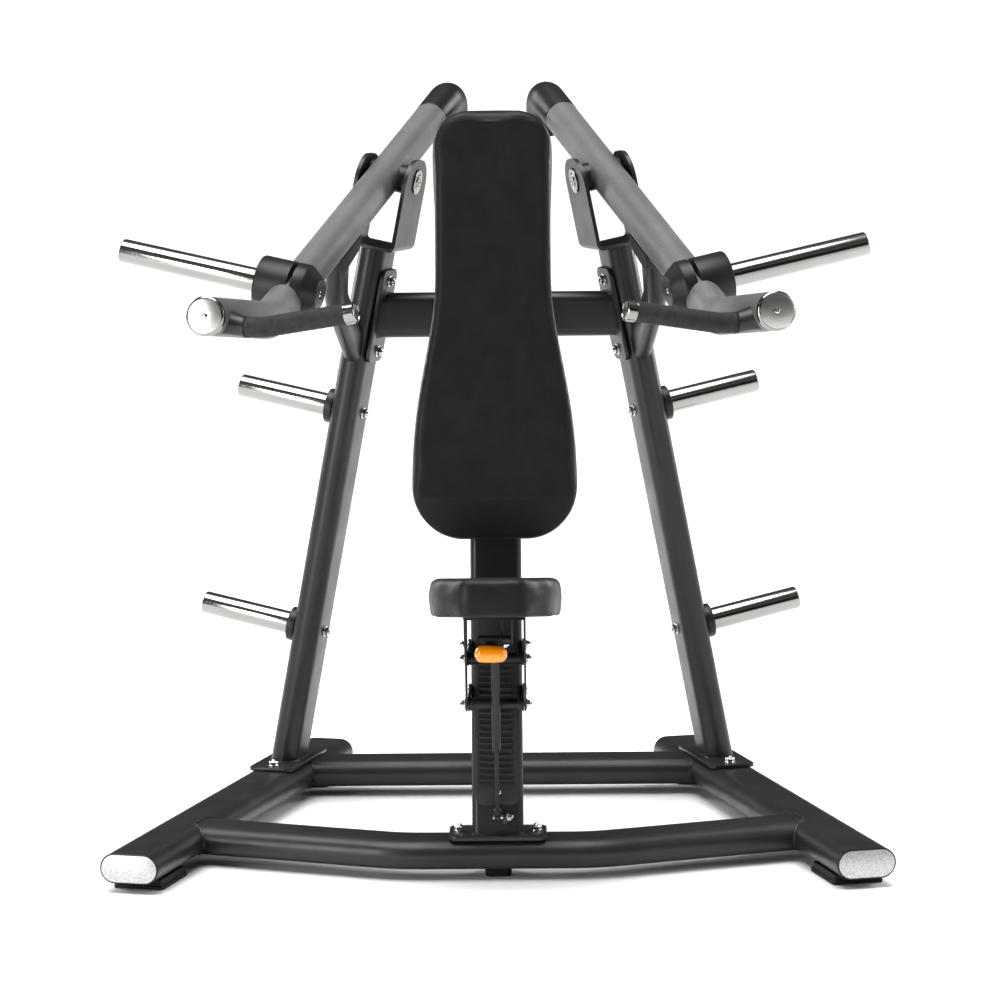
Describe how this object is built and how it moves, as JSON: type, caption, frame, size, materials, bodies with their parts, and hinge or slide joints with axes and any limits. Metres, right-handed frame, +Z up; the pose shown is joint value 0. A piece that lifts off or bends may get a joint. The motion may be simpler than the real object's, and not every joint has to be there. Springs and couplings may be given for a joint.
{
  "type": "chest press machine",
  "caption": "Plate-loaded press machine: splayed tube base, leaning uprights, two overhead-pivoted arms with weight horns, back pad and gas-assisted seat.",
  "frame": {"origin": "centre of the machine's overall box at floor level", "axes": "-Y the front, where the sitter faces; +X right as seen from the front; +Z up"},
  "size_m": [1.5456, 1.4522, 1.5583],
  "materials": {
    "frame_charcoal": "fine satin charcoal powder coat",
    "arm_grey": "metallic grey powder coat with a fine hammered grain",
    "black_satin": "satin black powder coat",
    "chrome": "polished chrome plate",
    "brushed_cap": "light grey metallic, fine grain",
    "rubber": "matt black moulded rubber",
    "pad_leather": "charcoal upholstery leather, soft sheen",
    "guard_plastic": "matt black moulded plastic",
    "orange_plastic": "glossy orange plastic"
  },
  "bodies": {
    "frame": {"left_base_rail": "frame_charcoal", "right_base_rail": "frame_charcoal", "left_rail_cap": "brushed_cap", "right_rail_cap": "brushed_cap", "left_front_foot": "rubber", "right_front_foot": "rubber", "left_rear_foot": "rubber", "right_rear_foot": "rubber", "left_foot_plate": "frame_charcoal", "right_foot_plate": "frame_charcoal", "left_upright": "frame_charcoal", "right_upright": "frame_charcoal", "left_pivot_bracket": "frame_charcoal", "right_pivot_bracket": "frame_charcoal", "left_pivot_shaft": "chrome", "right_pivot_shaft": "chrome", "left_beam_plate": "frame_charcoal", "right_beam_plate": "frame_charcoal", "left_arm_stop": "frame_charcoal", "right_arm_stop": "frame_charcoal", "left_stop_bumper": "rubber", "right_stop_bumper": "rubber", "left_lower_storage_horn": "chrome", "right_lower_storage_horn": "chrome", "left_upper_storage_horn": "chrome", "right_upper_storage_horn": "chrome", "front_crossbar": "frame_charcoal", "rear_crossbar": "frame_charcoal", "centre_foot": "rubber", "crossbeam": "frame_charcoal", "seat_column": "frame_charcoal", "column_plate": "frame_charcoal", "column_guard": "guard_plastic", "back_strut": "frame_charcoal", "pad_board": "black_satin", "back_pad": "pad_leather"},
    "left_arm": {"left_arm_tube": "arm_grey", "left_pivot_housing": "black_satin", "left_rear_weight": "black_satin", "left_horn_clamp": "black_satin", "left_arm_horn": "chrome", "left_arm_cap": "chrome", "left_handle_stub": "arm_grey", "left_hand_grip": "rubber"},
    "right_arm": {"right_arm_tube": "arm_grey", "right_pivot_housing": "black_satin", "right_rear_weight": "black_satin", "right_horn_clamp": "black_satin", "right_arm_horn": "chrome", "right_arm_cap": "chrome", "right_handle_stub": "arm_grey", "right_hand_grip": "rubber"},
    "lower_link": {"lower_link": "black_satin"},
    "upper_link": {"upper_link": "black_satin"},
    "seat_carriage": {"seat_carriage": "black_satin", "seat_pad": "pad_leather"},
    "gas_rod": {"gas_rod": "black_satin"},
    "gas_cylinder": {"gas_cylinder": "black_satin"},
    "release_lever": {"release_lever": "orange_plastic"}
  },
  "joints": [
    {"name": "right_arm_swing", "type": "hinge", "parent": "frame", "child": "right_arm", "pos_m": [0.22971, 0.30032, 1.36324], "axis": [-0.9479, -0.2469, -0.2011], "range_deg": [0, 50]},
    {"name": "left_arm_swing", "type": "hinge", "parent": "frame", "child": "left_arm", "pos_m": [-0.22971, 0.30032, 1.36324], "axis": [-0.9479, 0.2469, 0.2011], "range_deg": [0, 50]},
    {"name": "seat_lift", "type": "hinge", "parent": "frame", "child": "lower_link", "pos_m": [0, -0.32482, 0.363], "axis": [-1, 0, 0], "range_deg": [-18, 18]},
    {"name": "upper_link_turn", "type": "hinge", "parent": "frame", "child": "upper_link", "pos_m": [0, -0.30948, 0.45], "axis": [-1, 0, 0], "range_deg": [-18, 18]},
    {"name": "carriage_level", "type": "hinge", "parent": "lower_link", "child": "seat_carriage", "pos_m": [0, -0.47982, 0.363], "axis": [-1, 0, 0], "range_deg": [-18, 18]},
    {"name": "gas_rod_tilt", "type": "hinge", "parent": "frame", "child": "gas_rod", "pos_m": [0, -0.4239, 0.128], "axis": [-1, 0, 0], "range_deg": [-3, 3]},
    {"name": "gas_extend", "type": "slide", "parent": "gas_rod", "child": "gas_cylinder", "axis": [0, -0.3477, 0.9376], "range_m": [-0.05, 0.05]},
    {"name": "lever_pull", "type": "hinge", "parent": "seat_carriage", "child": "release_lever", "pos_m": [0, -0.5839, 0.506], "axis": [-1, 0, 0], "range_deg": [0, 14], "stiffness_Nm_per_rad": 0.8, "springref_deg": -14.32}
  ],
  "couplings": [
    {"joint": "upper_link_turn", "follows": "seat_lift", "ratio": 1},
    {"joint": "carriage_level", "follows": "seat_lift", "ratio": -1},
    {"joint": "gas_rod_tilt", "follows": "seat_lift", "ratio": 0.1325},
    {"joint": "gas_extend", "follows": "seat_lift", "m_per_rad": 0.1438}
  ]
}
